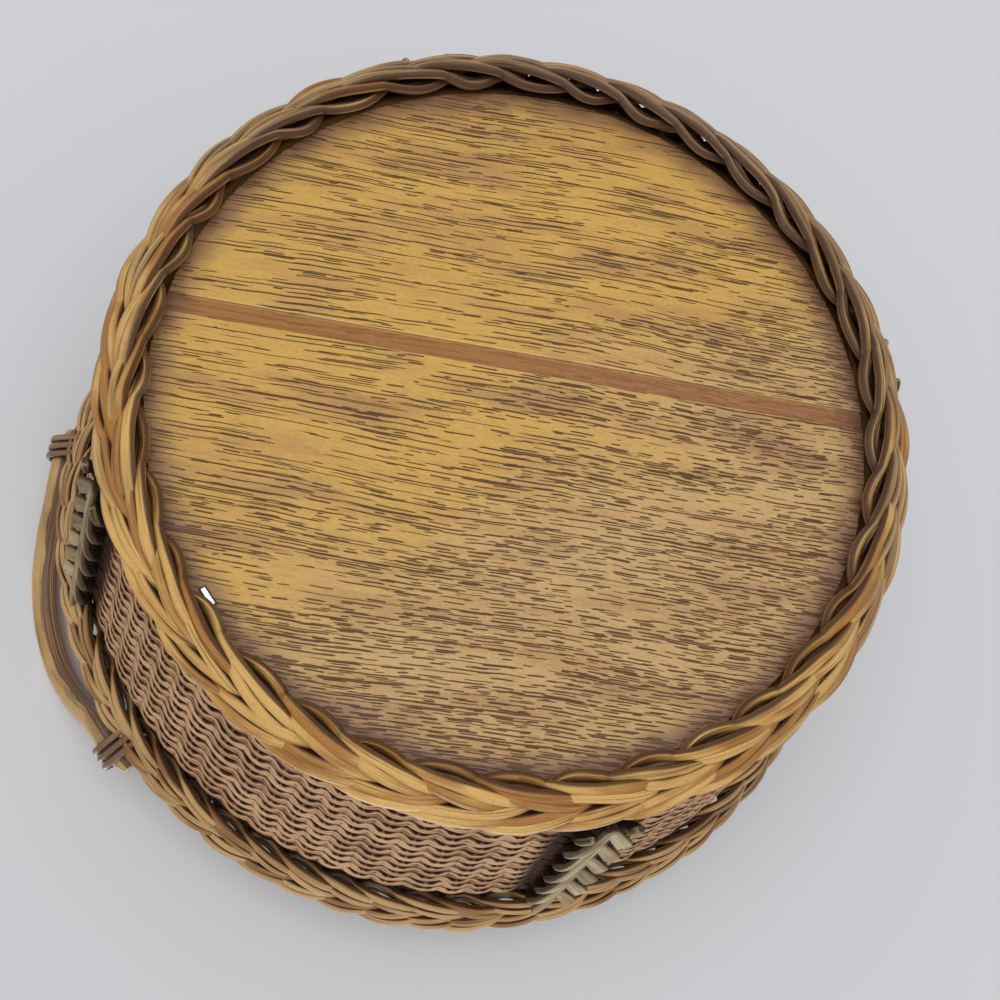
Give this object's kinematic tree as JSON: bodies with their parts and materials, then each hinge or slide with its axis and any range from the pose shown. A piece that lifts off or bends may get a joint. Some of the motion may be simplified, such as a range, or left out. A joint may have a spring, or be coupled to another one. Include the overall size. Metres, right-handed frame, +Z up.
{
  "type": "pie basket",
  "caption": "Round pie basket with a flared woven wall, a stapled plywood base, plaited foot and rim borders, upright plaited bands and lashed cane ear handles.",
  "frame": {"origin": "on the floor under the basket's axis, where the foot border stands", "axes": "+Z up out of the mouth, +X along the line through the two ear handles"},
  "size_m": [0.3684, 0.3442, 0.203],
  "materials": {
    "base_plywood": "varnished, open brown pores, stained towards the edge",
    "golden_rod": "golden-brown varnish, dark in the crevices",
    "weaver": "dull pinkish tan, dark between the rows",
    "grey_strand": "dull grey-olive",
    "cane": "smooth satin varnish",
    "lashing_cane": "satin brown",
    "wire": "bright zinc"
  },
  "bodies": {
    "root": {"base_disc": "base_plywood", "base_hoop": "golden_rod", "staple": "wire", "foot_border_strand_1": "golden_rod", "foot_border_strand_2": "golden_rod", "foot_border_strand_3": "golden_rod", "woven_wall": "weaver", "rim_border_strand_1": "golden_rod", "rim_border_strand_2": "golden_rod", "rim_border_strand_3": "golden_rod", "wall_band_1_strand_1": "grey_strand", "wall_band_1_strand_2": "grey_strand", "wall_band_1_strand_3": "grey_strand", "wall_band_1_strand_4": "grey_strand", "wall_band_2_strand_1": "grey_strand", "wall_band_2_strand_2": "grey_strand", "wall_band_2_strand_3": "grey_strand", "wall_band_2_strand_4": "grey_strand", "wall_band_3_strand_1": "grey_strand", "wall_band_3_strand_2": "grey_strand", "wall_band_3_strand_3": "grey_strand", "wall_band_3_strand_4": "grey_strand", "wall_band_4_strand_1": "grey_strand", "wall_band_4_strand_2": "grey_strand", "wall_band_4_strand_3": "grey_strand", "wall_band_4_strand_4": "grey_strand", "ear_handle_1": "cane", "ear_handle_2": "cane", "lashing_1": "lashing_cane", "lashing_2": "lashing_cane", "lashing_3": "lashing_cane", "lashing_4": "lashing_cane"}
  },
  "joints": []
}
